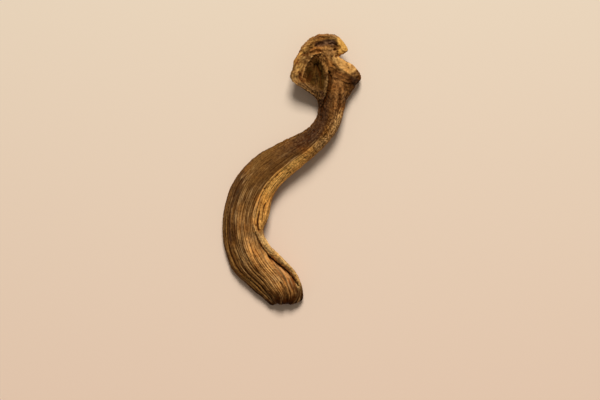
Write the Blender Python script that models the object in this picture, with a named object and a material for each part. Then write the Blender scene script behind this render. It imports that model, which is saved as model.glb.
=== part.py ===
"""Dried porcini slice: one lengthwise cut through cap and stem, curled as it dried.

The slice lies flat with its cut face up. +X is to the right and +Y towards the cap's crown, seen
from above, and the origin is under the middle of its box, on the surface that it rests on.
The skin is one closed grid. Its rows cross the slice, from the torn stem end to the crown, and its
columns run round it: over the cut face from the inner edge to the outer one, and back underneath.
"""

import bmesh
import bpy
import numpy as np
from mathutils import Vector, noise

# All sizes are in millimetres, and METRES turns them into Blender's unit.
METRES = 0.001

# How finely the skin is divided, and the share of the rows up to each place in OUTLINE.
ROWS = 92
TOP_COLUMNS = 36
UNDER_COLUMNS = 14
ROW_SHARES = [(0.0, 0.0), (0.04, 0.5), (0.62, 13.4), (0.97, 19.4), (1.0, 20.0)]

# The sides of the slice are rounded like a superellipse: a higher power is a squarer edge. The
# shares say how wide the inner band and how tall the sides are beside the broad face.
EDGE_POWER = 4.4
BAND_SHARE = 0.3
SIDE_SHARE = 0.26

# Rows across the slice: outer edge, crest and inner edge, each as (x, y). The crest is where the
# broad fibrous face meets the pale band along the inner edge.
OUTLINE = [
    ((-5.6, -40.6), (-0.6, -40.9), (2.6, -39.5)),
    ((-8.4, -38.1), (1.7, -36.7), (3.3, -36.0)),
    ((-13.0, -34.1), (-0.2, -31.1), (1.1, -30.3)),
    ((-17.3, -30.0), (-4.3, -27.3), (-2.8, -26.0)),
    ((-19.5, -24.9), (-8.5, -23.0), (-6.6, -22.1)),
    ((-20.5, -19.2), (-11.0, -18.7), (-8.6, -17.9)),
    ((-20.5, -13.2), (-11.8, -14.2), (-6.8, -13.1)),
    ((-19.3, -7.6), (-9.9, -7.8), (-5.7, -7.8)),
    ((-16.5, -1.7), (-6.3, -2.4), (-2.1, -2.9)),
    ((-10.8, 4.4), (-0.9, 2.3), (2.7, 1.2)),
    ((-3.0, 8.7), (4.8, 6.2), (7.7, 5.4)),
    ((3.9, 12.2), (8.9, 10.5), (12.1, 10.1)),
    ((7.3, 16.0), (10.8, 15.6), (14.7, 14.6)),
    ((7.6, 20.9), (11.0, 21.3), (16.2, 20.8)),
    ((3.8, 24.0), (10.8, 25.8), (18.9, 25.1)),
    ((-0.2, 27.2), (11.0, 30.0), (20.6, 28.1)),
    ((0.5, 31.8), (10.5, 33.6), (18.2, 31.5)),
    ((1.5, 34.5), (10.2, 35.4), (14.2, 33.9)),
    ((3.9, 38.0), (10.0, 38.0), (16.7, 35.9)),
    ((6.4, 40.0), (10.3, 40.1), (14.3, 39.5)),
    ((9.0, 40.9), (10.5, 41.0), (12.0, 40.9)),
]

# Heights at those rows: the face at the outer edge, crest and inner edge, how far it swells
# between them on the outer and the inner side, then the underside at the same three places.
HEIGHTS = [
    (2.0, 2.6, 2.2, 0.6, 0.0, 0.3, 0.9, 0.8),
    (2.4, 3.6, 3.2, 1.7, 0.0, -0.6, 0.4, -0.4),
    (2.6, 4.7, 5.0, 2.2, 0.0, -0.8, 1.2, 0.9),
    (2.6, 5.3, 6.6, 2.6, 0.1, -0.9, 1.9, 2.2),
    (2.4, 6.1, 7.0, 2.8, 0.1, -0.9, 2.3, 2.4),
    (2.2, 6.9, 6.6, 2.9, 0.2, -0.9, 2.5, 2.0),
    (2.2, 7.5, 5.6, 2.7, 0.3, -0.9, 2.6, 1.2),
    (2.2, 7.8, 5.2, 2.4, 0.4, -0.7, 2.6, 0.8),
    (2.4, 7.9, 5.1, 2.0, 0.4, -0.2, 2.7, 0.8),
    (2.8, 7.7, 5.2, 1.6, 0.4, 0.7, 2.9, 1.3),
    (3.2, 7.5, 5.4, 1.2, 0.4, 1.4, 3.0, 1.9),
    (3.4, 7.3, 5.5, 0.9, 0.5, 1.8, 3.0, 2.3),
    (3.6, 7.1, 5.3, 0.7, 0.6, 1.9, 2.8, 2.3),
    (3.9, 6.6, 4.9, 0.3, 0.8, 2.2, 2.2, 1.9),
    (5.6, 5.8, 4.3, -0.5, 1.0, 4.2, 1.4, 1.2),
    (7.0, 5.4, 3.9, -1.6, 1.0, 5.5, 0.1, 0.8),
    (6.6, 5.5, 5.2, -1.7, 1.0, 4.7, -1.1, 1.9),
    (6.0, 5.7, 5.8, -1.3, 0.4, 4.1, -1.1, 2.8),
    (5.6, 5.6, 6.2, 0.0, 0.0, 3.9, 0.9, 3.9),
    (5.0, 5.6, 5.4, 0.2, 0.2, 3.4, 2.4, 3.6),
    (4.2, 4.4, 4.3, 0.0, 0.0, 3.1, 3.1, 3.1),
]

# Furrows along the fibres of the stem's broad face: where across it, depth and half width there.
# Across is -1 at the outer edge and 0 at the crest in mid stem. Fibres spread out towards the
# foot, so that more of them show there, up to FOOT_SPREAD. They fade out up the stem.
FURROWS = [
    (-0.80, 1.00, 0.045),
    (-0.63, 0.75, 0.048),
    (-0.50, 0.40, 0.035),
    (-0.36, 0.40, 0.040),
    (-0.20, 0.35, 0.038),
    (-0.06, 0.40, 0.042),
    (0.09, 0.50, 0.045),
    (0.22, 0.45, 0.045),
    (0.34, 0.45, 0.045),
]
FOOT_SPREAD = 0.5
FURROW_WANDER = 0.03
UNDER_FURROWS = 0.8
FOOT_ROW, BULB_ROW = 1.0, 6.0
FURROW_FADE = (4.0, 8.5)

# Folds and ridges that the flesh dried into: a path of (x, y), half width, rise (negative for a
# groove), and how much of the rise the underside follows. They narrow towards their ends.
FOLDS = {
    "foot_split": ([(-3.4, -33.0), (-1.8, -37.0), (-1.2, -40.6)], 0.50, -0.8, 0.0),
    "foot_split_2": ([(-9.0, -34.0), (-6.2, -38.0), (-4.6, -40.6)], 0.50, -0.7, 0.0),
    "lip_seam": ([(-10.9, -18.6), (-9.3, -21.8), (-6.6, -25.3)], 0.38, -0.9, 0.0),
    "lip_gap": ([(-6.8, -25.2), (-4.8, -27.0), (-2.4, -28.8), (-0.2, -31.1), (1.9, -34.1)], 0.55, -2.2, 0.0),
    "band_rim": ([(-10.6, -18.0), (-11.4, -14.0), (-9.6, -7.8), (-6.3, -2.4), (-0.9, 2.3)], 0.40, 0.40, 0.0),
    "band_edge": ([(-7.9, -13.4), (-6.3, -8.2), (-2.8, -3.4), (2.2, 0.9)], 0.40, 0.3, 0.0),
    "band_crack": ([(-9.5, -12.0), (-10.1, -14.4), (-10.1, -16.4), (-9.7, -18.0)], 0.32, -0.7, 0.0),
    "band_crack_2": ([(-8.9, -15.2), (-8.5, -11.6), (-7.6, -9.4)], 0.28, -0.5, 0.0),
    "shoulder_crease": ([(-14.7, -2.4), (-16.2, -5.1), (-17.4, -8.1)], 0.45, -0.6, 0.0),
    "neck_shade": ([(2.0, 8.3), (7.2, 12.0), (9.2, 15.6), (9.5, 19.6)], 0.60, -0.4, 0.0),
    "neck_fold": ([(12.5, 27.0), (13.4, 24.0), (12.9, 19.4), (11.6, 14.0), (8.4, 9.2)], 0.50, 0.40, 0.2),
    "neck_fold_2": ([(14.9, 26.0), (15.3, 22.4), (14.5, 18.4)], 0.50, 0.45, 0.2),
    "neck_crease": ([(14.2, 24.6), (14.2, 20.0), (13.2, 15.4)], 0.38, -0.45, 0.0),
    "throat_crease": ([(11.0, 29.6), (11.4, 27.0), (10.6, 22.6), (9.2, 19.2), (8.6, 15.0)], 0.45, -1.2, 0.0),
    "throat_ridge": ([(10.6, 28.6), (10.2, 25.4), (9.7, 22.6)], 0.55, 0.5, 0.3),
    "centre_ridge": ([(9.8, 35.2), (10.8, 33.0), (11.8, 31.0)], 0.70, 0.4, 0.2),
    "flap_hem": ([(0.2, 26.2), (2.6, 25.0), (6.2, 22.7), (7.6, 21.4)], 0.35, 0.3, 0.0),
    "cap_rim": ([(1.5, 28.4), (2.0, 32.0), (3.3, 35.4), (5.8, 38.0)], 1.30, 0.9, 0.7),
    "rim_dent": ([(0.4, 29.6), (2.2, 30.6)], 0.60, -0.4, 0.5),
    "rim_dent_2": ([(2.0, 35.8), (3.8, 34.8)], 0.55, -0.5, 0.5),
    "tube_layer": ([(5.2, 27.0), (7.4, 31.4)], 2.10, -1.2, 0.5),
    "tube_streak": ([(7.4, 32.0), (8.4, 28.6), (8.7, 24.4)], 0.45, -0.5, 0.0),
    "tube_edge": ([(2.9, 27.0), (3.9, 30.6), (4.9, 32.4), (6.3, 34.4), (8.8, 35.1)], 0.45, 0.4, 0.0),
    "tube_edge_2": ([(8.4, 35.1), (9.2, 33.9), (9.9, 32.7)], 0.40, 0.4, 0.0),
    "crown_fold": ([(7.0, 37.0), (10.4, 38.2), (13.2, 37.6)], 0.90, -0.8, 0.3),
    "crown_crease": ([(10.8, 37.7), (12.4, 37.7), (13.6, 37.0)], 0.36, -0.45, 0.0),
    "crown_lip": ([(5.6, 38.9), (8.6, 40.1), (12.2, 40.1), (15.2, 38.6)], 0.60, 0.35, 0.3),
    "brow": ([(5.6, 35.6), (7.8, 36.4), (10.2, 36.0), (12.4, 36.2)], 0.60, 0.55, 0.2),
    "brow_lump": ([(12.2, 34.8), (13.4, 35.6)], 0.90, 0.6, 0.2),
    "brow_pit": ([(12.4, 36.0), (12.9, 35.9)], 0.40, -0.8, 0.0),
    "notch_crease": ([(14.8, 34.4), (13.8, 34.0), (13.0, 34.1)], 0.42, -0.6, 0.2),
    "flap_rim": ([(11.9, 33.4), (12.2, 31.8), (13.1, 30.3), (14.3, 29.1), (16.0, 28.6)], 0.40, 0.15, 0.0),
    "flap_wrinkle": ([(13.8, 28.6), (15.8, 27.7), (17.4, 27.4)], 0.36, 0.35, 0.0),
    "flap_wrinkle_2": ([(13.4, 27.6), (15.6, 26.5), (17.2, 26.2)], 0.36, 0.3, 0.0),
    "knob": ([(18.6, 26.9), (18.9, 26.2)], 1.00, 0.7, 0.3),
}
FOLD_TAPER = 0.6

# Flaps stand above the flesh beside them, with a flat top. The two numbers are the nearness at
# which the step up begins and where it is done.
FLAPS = {
    "right_flap": ([(13.4, 33.0), (14.5, 31.9), (16.3, 30.8), (18.8, 29.3)], 1.9, 0.25, 0.3),
    "ear": ([(14.6, 38.4), (16.0, 36.4)], 1.4, 0.40, 0.6),
}
FLAP_STEP = (0.3, 0.7)

# The edges are ragged and the faces lumpy, as dried flesh is: by how much, and over what length.
STEM_EDGE, CAP_EDGE, EDGE_BUMP = 0.14, 0.34, 2.4
LUMPS = [(0.42, 5.5), (0.20, 2.2)]
UNDER_LUMPS = 1.1
NOISE_SEED = 17.0

# Both ends are torn: rows there are pushed in by up to TORN, and thin out over END_TAPER rows to
# END_THICKNESS of their full thickness.
TORN, TORN_BUMPS = 0.4, 5.0
END_TAPER = 0.35
END_THICKNESS = 0.35


def spline(points, at):
    """The smooth curve through points, read at places counted in points."""
    points = np.asarray(points, float)
    last = len(points) - 1
    start = np.clip(np.floor(at).astype(int), 0, last - 1)
    f = (at - start).reshape(at.shape + (1,) * (points.ndim - 1))
    before, a, b, after = (points[np.clip(start + k, 0, last)] for k in (-1, 0, 1, 2))
    return 0.5 * (
        2 * a
        + (b - before) * f
        + (2 * before - 5 * a + 4 * b - after) * f**2
        + (3 * a - before - 3 * b + after) * f**3
    )


def smooth_step(low, high, x):
    t = np.clip((x - low) / (high - low), 0, 1)
    return t * t * (3 - 2 * t)


def columns(count):
    """Places over one face, from inner edge to outer: across from 1 to -1, height from 0 to 1 and back."""
    angle = np.linspace(0, np.pi, 2001)
    across = np.sign(np.cos(angle)) * np.abs(np.cos(angle)) ** (2 / EDGE_POWER)
    height = np.abs(np.sin(angle)) ** (2 / EDGE_POWER)
    middle = (across[1:] + across[:-1]) / 2
    width = np.where(middle > 0, BAND_SHARE, 1 - BAND_SHARE)
    steps = np.hypot(np.diff(across) * width, np.diff(height) * SIDE_SHARE)
    length = np.concatenate([[0.0], np.cumsum(steps)])
    even = np.linspace(0, length[-1], count + 1)
    return np.interp(even, length, across), np.interp(even, length, height)


def nearness(xy, path, half_width, taper=0.0):
    """1 on the path, fading to 0 about two half widths from it. Taper narrows it towards its ends."""
    near = np.zeros(xy.shape[:-1])
    path = spline(path, np.linspace(0, len(path) - 1, 3 * len(path) - 2))
    steps = np.linalg.norm(np.diff(path, axis=0), axis=1)
    for a, b, start, step in zip(path, path[1:], np.cumsum(steps) - steps, steps):
        t = np.clip(((xy - a) @ (b - a)) / step**2, 0, 1)
        gap = np.linalg.norm(xy - (a + t[..., None] * (b - a)), axis=-1)
        along = (start + t * step) / steps.sum()
        width = half_width * (1 - taper * (1 - np.sqrt(np.sin(np.pi * along) + 1e-6)))
        near = np.maximum(near, np.exp(-((gap / width) ** 2)))
    return near


def lumpiness(points, size, seed=0.0):
    """Smooth noise from -1 to 1 at each point, with bumps of that size."""
    flat = np.asarray(points).reshape(-1, 2) / size + NOISE_SEED + seed
    values = [noise.noise(Vector((x, y, seed))) for x, y in flat]
    return np.array(values).reshape(np.shape(points)[:-1])


def heights(row, across):
    """(face, underside) heights at each row and place across, before furrows and folds."""
    outer, crest, inner, swell_out, swell_in, under_out, under_crest, under_in = np.moveaxis(
        spline(HEIGHTS, row), -1, 0
    )
    left, right = np.clip(-across, 0, 1), np.clip(across, 0, 1)
    face = crest + left * (outer - crest) + right * (inner - crest)
    face = face + 4 * swell_out * left * (1 - left) + 4 * swell_in * right * (1 - right)
    under = under_crest + left * (under_out - under_crest) + right * (under_in - under_crest)
    return face, under


def furrow_depth(row, across, shift=0.0):
    """How deep the furrows cut the broad face of the stem."""
    foot = 1 - smooth_step(FOOT_ROW, BULB_ROW, row)
    fibre = -1 + (across + 1) * (1 + FOOT_SPREAD * foot)
    depth = np.zeros(fibre.shape)
    for number, (place, deep, half_width) in enumerate(FURROWS):
        wander = FURROW_WANDER * np.sin(1.1 * row + 2.3 * number + shift)
        depth = np.maximum(depth, deep * np.exp(-(((fibre - place - wander) / half_width) ** 2)))
    stem = smooth_step(FOOT_ROW - 1, FOOT_ROW + 1, row) * (1 - smooth_step(*FURROW_FADE, row))
    return depth * stem * smooth_step(0.02, 0.12, -across)


def skin(rows, top_columns, under_columns):
    """Points of the closed grid, [row][column], in millimetres, centred over the origin."""
    last = len(OUTLINE) - 1
    row = np.interp(np.linspace(0, 1, rows + 1), *zip(*ROW_SHARES))
    top_across, top_height = columns(top_columns)
    low_across, low_height = columns(under_columns)
    across = np.concatenate([top_across, low_across[-2::-1]])
    height = np.concatenate([top_height, -low_height[-2::-1]])
    row, across = np.broadcast_arrays(row[:, None], across[None, :])

    torn = TORN * (1 + lumpiness(np.stack([TORN_BUMPS * across, row * 0], -1), 1.0))
    to_foot, to_crown = np.clip(1 - row, 0, 1), np.clip(row - last + 1, 0, 1)
    place = row + torn * (to_foot - to_crown)

    rails = spline(OUTLINE, place)
    edge_size = STEM_EDGE + (CAP_EDGE - STEM_EDGE) * smooth_step(13, 14, row)
    outer, crest, inner = (rails[..., k, :] for k in range(3))
    outward = (outer - inner) / np.linalg.norm(outer - inner, axis=-1, keepdims=True)
    outer = outer + outward * (edge_size * lumpiness(outer, EDGE_BUMP))[..., None]
    inner = inner - outward * (edge_size * lumpiness(inner, EDGE_BUMP, 5.0))[..., None]
    left, right = np.clip(-across, 0, 1)[..., None], np.clip(across, 0, 1)[..., None]
    xy = crest + left * (outer - crest) + right * (inner - crest)

    face, under = heights(place, across)
    face = face - furrow_depth(row, across)
    under = under + UNDER_FURROWS * furrow_depth(row, across, 1.7) * smooth_step(-0.75, -0.45, across)
    for rise, size in LUMPS:
        bump = rise * lumpiness(xy, size, size)
        face = face + bump
        under = under + UNDER_LUMPS * rise * lumpiness(xy, size, size + 3)
    for path, half_width, rise, through in FOLDS.values():
        near = nearness(xy, path, half_width, FOLD_TAPER)
        face = face + rise * near
        under = under + rise * through * near
    for path, half_width, rise, through in FLAPS.values():
        near = smooth_step(*FLAP_STEP, nearness(xy, path, half_width))
        face = face + rise * near
        under = under + rise * through * near
    taper = np.clip(np.minimum(row, last - row) / END_TAPER, 0, 1)
    plump = END_THICKNESS + (1 - END_THICKNESS) * np.sqrt(1 - (1 - taper) ** 2)
    middle, half = (face + under) / 2, (face - under) / 2
    z = np.maximum(middle + half * height * plump, 0)
    points = np.concatenate([xy, z[..., None]], axis=-1)
    low, high = points.min(axis=(0, 1)), points.max(axis=(0, 1))
    points -= [(low[0] + high[0]) / 2, (low[1] + high[1]) / 2, low[2]]
    return points


def flesh_material():
    material = bpy.data.materials.new("dried_flesh")
    material.use_nodes = True
    shader = material.node_tree.nodes["Principled BSDF"]
    shader.inputs["Base Color"].default_value = (0.29, 0.14, 0.045, 1.0)
    shader.inputs["Roughness"].default_value = 0.72
    shader.inputs["Metallic"].default_value = 0.0
    return material


def porcini_slice(collection):
    """The slice: a flat grid laid over the computed skin, then closed where its edges meet."""
    points = skin(ROWS, TOP_COLUMNS, UNDER_COLUMNS)
    rows, around = points.shape[:2]
    shape = bmesh.new()
    bmesh.ops.create_grid(shape, x_segments=around - 1, y_segments=rows - 1, size=1)
    shape.verts.ensure_lookup_table()
    for vert, place in zip(shape.verts, points.reshape(-1, 3)):
        vert.co = Vector(place) * METRES
    bmesh.ops.remove_doubles(shape, verts=shape.verts, dist=1e-6)
    bmesh.ops.holes_fill(shape, edges=[edge for edge in shape.edges if edge.is_boundary])
    bmesh.ops.recalc_face_normals(shape, faces=shape.faces)
    mesh = bpy.data.meshes.new("porcini_slice")
    shape.to_mesh(mesh)
    shape.free()
    mesh.materials.append(flesh_material())
    mesh.shade_smooth()
    slice_object = bpy.data.objects.new("porcini_slice", mesh)
    collection.objects.link(slice_object)
    return slice_object


def main():
    for old in list(bpy.data.objects):
        bpy.data.objects.remove(old)
    collection = bpy.data.collections.new("porcini_slice")
    bpy.context.scene.collection.children.link(collection)
    porcini_slice(collection)


main()
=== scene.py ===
import bmesh
import bpy
import numpy as np
from mathutils import Euler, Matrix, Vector, noise


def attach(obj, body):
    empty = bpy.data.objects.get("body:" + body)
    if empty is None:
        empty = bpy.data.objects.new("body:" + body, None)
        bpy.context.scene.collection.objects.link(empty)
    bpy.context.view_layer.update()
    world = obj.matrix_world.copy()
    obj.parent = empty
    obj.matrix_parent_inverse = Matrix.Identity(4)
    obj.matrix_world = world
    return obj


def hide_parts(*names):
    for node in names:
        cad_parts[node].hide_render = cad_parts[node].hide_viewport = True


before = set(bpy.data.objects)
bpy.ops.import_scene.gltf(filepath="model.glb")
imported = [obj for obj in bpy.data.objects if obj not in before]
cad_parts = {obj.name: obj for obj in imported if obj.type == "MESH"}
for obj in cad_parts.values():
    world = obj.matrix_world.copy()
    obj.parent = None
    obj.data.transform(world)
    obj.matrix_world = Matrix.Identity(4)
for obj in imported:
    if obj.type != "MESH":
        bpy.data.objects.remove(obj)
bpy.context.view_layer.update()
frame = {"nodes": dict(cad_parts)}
print("frame loaded:", ", ".join(frame["nodes"]))

mm = 0.001


# The slice's main form, the same as the solid's. Each row across it has an outer edge, a crest
# where the broad face meets the pale band, and an inner edge, as (x, y) in mm.
sliceForm = {
    "rows": 436,
    "topColumns": 150,
    "underColumns": 74,
    # the share of the mesh's rows by which each row of the outline is reached
    "rowShares": [(0.0, 0.0), (0.04, 0.5), (0.62, 13.4), (0.97, 19.4), (1.0, 20.0)],
    "edgePower": 4.4,  # how squarely the faces turn down into the sides
    "bandShare": 0.3,  # of the width, and the sides' share, to space the columns by
    "sideShare": 0.26,
    "arcSteps": 2001,
    "outline": [
        ((-5.6, -40.6), (-0.6, -40.9), (2.6, -39.5)),
        ((-8.4, -38.1), (1.7, -36.7), (3.3, -36.0)),
        ((-13.0, -34.1), (-0.2, -31.1), (1.1, -30.3)),
        ((-17.3, -30.0), (-4.3, -27.3), (-2.8, -26.0)),
        ((-19.5, -24.9), (-8.5, -23.0), (-6.6, -22.1)),
        ((-20.5, -19.2), (-11.0, -18.7), (-8.6, -17.9)),
        ((-20.5, -13.2), (-11.8, -14.2), (-6.8, -13.1)),
        ((-19.3, -7.6), (-9.9, -7.8), (-5.7, -7.8)),
        ((-16.5, -1.7), (-6.3, -2.4), (-2.1, -2.9)),
        ((-10.8, 4.4), (-0.9, 2.3), (2.7, 1.2)),
        ((-3.0, 8.7), (4.8, 6.2), (7.7, 5.4)),
        ((3.9, 12.2), (8.9, 10.5), (12.1, 10.1)),
        ((7.3, 16.0), (10.8, 15.6), (14.7, 14.6)),
        ((7.6, 20.9), (11.0, 21.3), (16.2, 20.8)),
        ((3.8, 24.0), (10.8, 25.8), (18.9, 25.1)),
        ((-0.2, 27.2), (11.0, 30.0), (20.6, 28.1)),
        ((0.5, 31.8), (10.5, 33.6), (18.2, 31.5)),
        ((1.5, 34.5), (10.2, 35.4), (14.2, 33.9)),
        ((3.9, 38.0), (10.0, 38.0), (16.7, 35.9)),
        ((6.4, 40.0), (10.3, 40.1), (14.3, 39.5)),
        ((9.0, 40.9), (10.5, 41.0), (12.0, 40.9)),
    ],
    # the cut face at outer edge, crest and inner edge, its swell on either side, and the underside
    "heights": [
        (2.0, 2.6, 2.2, 0.6, 0.0, 0.3, 0.9, 0.8),
        (2.4, 3.6, 3.2, 1.7, 0.0, -0.6, 0.4, -0.4),
        (2.6, 4.7, 5.0, 2.2, 0.0, -0.8, 1.2, 0.9),
        (2.6, 5.3, 6.6, 2.6, 0.1, -0.9, 1.9, 2.2),
        (2.4, 6.1, 7.0, 2.8, 0.1, -0.9, 2.3, 2.4),
        (2.2, 6.9, 6.6, 2.9, 0.2, -0.9, 2.5, 2.0),
        (2.2, 7.5, 5.6, 2.7, 0.3, -0.9, 2.6, 1.2),
        (2.2, 7.8, 5.2, 2.4, 0.4, -0.7, 2.6, 0.8),
        (2.4, 7.9, 5.1, 2.0, 0.4, -0.2, 2.7, 0.8),
        (2.8, 7.7, 5.2, 1.6, 0.4, 0.7, 2.9, 1.3),
        (3.2, 7.5, 5.4, 1.2, 0.4, 1.4, 3.0, 1.9),
        (3.4, 7.3, 5.5, 0.9, 0.5, 1.8, 3.0, 2.3),
        (3.6, 7.1, 5.3, 0.7, 0.6, 1.9, 2.8, 2.3),
        (3.9, 6.6, 4.9, 0.3, 0.8, 2.2, 2.2, 1.9),
        (5.6, 5.8, 4.3, -0.5, 1.0, 4.2, 1.4, 1.2),
        (7.0, 5.4, 3.9, -1.6, 1.0, 5.5, 0.1, 0.8),
        (6.6, 5.5, 5.2, -1.7, 1.0, 4.7, -1.1, 1.9),
        (6.0, 5.7, 5.8, -1.3, 0.4, 4.1, -1.1, 2.8),
        (5.6, 5.6, 6.2, 0.0, 0.0, 3.9, 0.9, 3.9),
        (5.0, 5.6, 5.4, 0.2, 0.2, 3.4, 2.4, 3.6),
        (4.2, 4.4, 4.3, 0.0, 0.0, 3.1, 3.1, 3.1),
    ],
    "stemEdge": 0.14,  # how far the outline wavers, in mm
    "capEdge": 0.34,
    "capEdgeFrom": (13, 14),
    "edgeBump": 2.4,
    "edgeSeed": 5.0,
    "lumps": [(0.42, 5.5), (0.20, 2.2)],  # rise and size
    "underLumps": 1.1,
    "underSeed": 3.0,
    "foldTaper": 0.6,
    "flapSides": (0.3, 0.7),
    "seed": 17.0,
    "torn": 0.4,  # how ragged the two ends are, in rows
    "tornBumps": 5.0,
    "endTaper": 0.35,
    "endThickness": 0.12,
    "fibreWidth": 10.0,  # mm of fibres over each half of the face
    "sideFibres": 1.5,
    "underFibres": 40.0,  # gives the underside lines of its own
}

# Furrows along the fibres: where across the broad face, depth and half width.
furrows = {
    "lines": [
        (-0.80, 0.95, 0.045),
        (-0.63, 0.60, 0.045),
        (-0.50, 0.25, 0.030),
        (-0.36, 0.20, 0.030),
        (-0.20, 0.20, 0.030),
        (-0.06, 0.22, 0.032),
        (0.09, 0.32, 0.035),
        (0.22, 0.30, 0.035),
        (0.34, 0.30, 0.035),
    ],
    "footSpread": 0.5,
    "wander": (0.03, 1.1, 2.3),  # how far, then its turn for each row and each line
    "crestGap": (0.02, 0.12),
    "under": 0.8,
    "underTurn": 1.7,
    "underFrom": (-0.75, -0.45),
    "start": (0.0, 2.0),
    "bulb": (1.0, 6.0),
    "fade": (4.0, 8.5),
}

# Folds the flesh dried into: path, half width, rise, and how much of it shows underneath.
folds = {
    "footSplit": ([(-3.4, -33.0), (-1.8, -37.0), (-1.2, -40.6)], 0.50, -0.8, 0.0),
    "footSplitTwo": ([(-9.0, -34.0), (-6.2, -38.0), (-4.6, -40.6)], 0.50, -0.7, 0.0),
    "lipSeam": ([(-10.9, -18.6), (-9.3, -21.8), (-6.6, -25.3)], 0.33, -0.9, 0.0),
    "lipGap": (
        [(-6.8, -25.2), (-4.8, -27.0), (-2.4, -28.8), (-0.2, -31.1), (1.9, -34.1)],
        0.52,
        -2.2,
        0.0,
    ),
    "bandRim": (
        [(-10.6, -18.0), (-11.4, -14.0), (-9.6, -7.8), (-6.3, -2.4), (-0.9, 2.3)],
        0.35,
        0.35,
        0.0,
    ),
    "bandEdge": ([(-7.9, -13.4), (-6.3, -8.2), (-2.8, -3.4), (2.2, 0.9)], 0.35, 0.3, 0.0),
    "bandCrack": ([(-9.5, -12.0), (-10.1, -14.4), (-10.1, -16.4), (-9.7, -18.0)], 0.28, -0.7, 0.0),
    "bandCrackTwo": ([(-8.9, -15.2), (-8.5, -11.6), (-7.6, -9.4)], 0.24, -0.5, 0.0),
    "shoulderCrease": ([(-14.7, -2.4), (-16.2, -5.1), (-17.4, -8.1)], 0.40, -0.6, 0.0),
    "neckShade": ([(2.0, 8.3), (7.2, 12.0), (9.2, 15.6), (9.5, 19.6)], 0.60, -0.4, 0.0),
    "neckFold": ([(12.5, 27.0), (13.4, 24.0), (12.9, 19.4), (11.6, 14.0), (8.4, 9.2)], 0.50, 0.40, 0.2),
    "neckFoldTwo": ([(14.9, 26.0), (15.3, 22.4), (14.5, 18.4)], 0.45, 0.45, 0.2),
    "neckCrease": ([(14.2, 24.6), (14.2, 20.0), (13.2, 15.4)], 0.32, -0.45, 0.0),
    "throatCrease": (
        [(11.0, 29.6), (11.4, 27.0), (10.6, 22.6), (9.2, 19.2), (8.6, 15.0)],
        0.42,
        -1.2,
        0.0,
    ),
    "throatRidge": ([(10.6, 28.6), (10.2, 25.4), (9.7, 22.6)], 0.55, 0.5, 0.3),
    "centreRidge": ([(9.8, 35.2), (10.8, 33.0), (11.8, 31.0)], 0.70, 0.4, 0.2),
    "flapHem": ([(0.2, 26.2), (2.6, 25.0), (6.2, 22.7), (7.6, 21.4)], 0.30, 0.30, 0.0),
    "capRim": ([(1.5, 28.4), (2.0, 32.0), (3.3, 35.4), (5.8, 38.0)], 1.3, 0.9, 0.7),
    "rimDent": ([(0.4, 29.6), (2.2, 30.6)], 0.55, -0.4, 0.5),
    "rimDentTwo": ([(2.0, 35.8), (3.8, 34.8)], 0.50, -0.5, 0.5),
    "tubeLayer": ([(5.2, 27.0), (7.4, 31.4)], 2.1, -1.2, 0.5),
    "tubeStreak": ([(7.4, 32.0), (8.4, 28.6), (8.7, 24.4)], 0.40, -0.5, 0.0),
    "tubeEdge": ([(2.9, 27.0), (3.9, 30.6), (4.9, 32.4), (6.3, 34.4), (8.8, 35.1)], 0.40, 0.40, 0.0),
    "tubeEdgeTwo": ([(8.4, 35.1), (9.2, 33.9), (9.9, 32.7)], 0.34, 0.40, 0.0),
    "crownFold": ([(7.0, 37.0), (10.4, 38.2), (13.2, 37.6)], 0.90, -0.8, 0.3),
    "crownCrease": ([(10.8, 37.7), (12.4, 37.7), (13.6, 37.0)], 0.30, -0.45, 0.0),
    "crownLip": ([(5.6, 38.9), (8.6, 40.1), (12.2, 40.1), (15.2, 38.6)], 0.60, 0.35, 0.3),
    "brow": ([(5.6, 35.6), (7.8, 36.4), (10.2, 36.0), (12.4, 36.2)], 0.60, 0.55, 0.2),
    "browLump": ([(12.2, 34.8), (13.4, 35.6)], 0.90, 0.6, 0.2),
    "browPit": ([(12.4, 36.0), (12.9, 35.9)], 0.32, -0.8, 0.0),
    "notchCrease": ([(14.8, 34.4), (13.8, 34.0), (13.0, 34.1)], 0.36, -0.6, 0.2),
    "flapRim": ([(11.9, 33.4), (12.2, 31.8), (13.1, 30.3), (14.3, 29.1), (16.0, 28.6)], 0.34, 0.15, 0.0),
    "flapWrinkle": ([(13.8, 28.6), (15.8, 27.7), (17.4, 27.4)], 0.34, 0.35, 0.0),
    "flapWrinkleTwo": ([(13.4, 27.6), (15.6, 26.5), (17.2, 26.2)], 0.34, 0.30, 0.0),
    "knob": ([(18.6, 26.9), (18.9, 26.2)], 1.0, 0.7, 0.3),
}

# Flaps stand above the flesh beside them, with a flat top and steep sides.
flaps = {
    "rightFlap": ([(13.4, 33.0), (14.5, 31.9), (16.3, 30.8), (18.8, 29.3)], 1.9, 0.25, 0.3),
    "ear": ([(14.6, 38.4), (16.0, 36.4)], 1.4, 0.4, 0.6),
}

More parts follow.
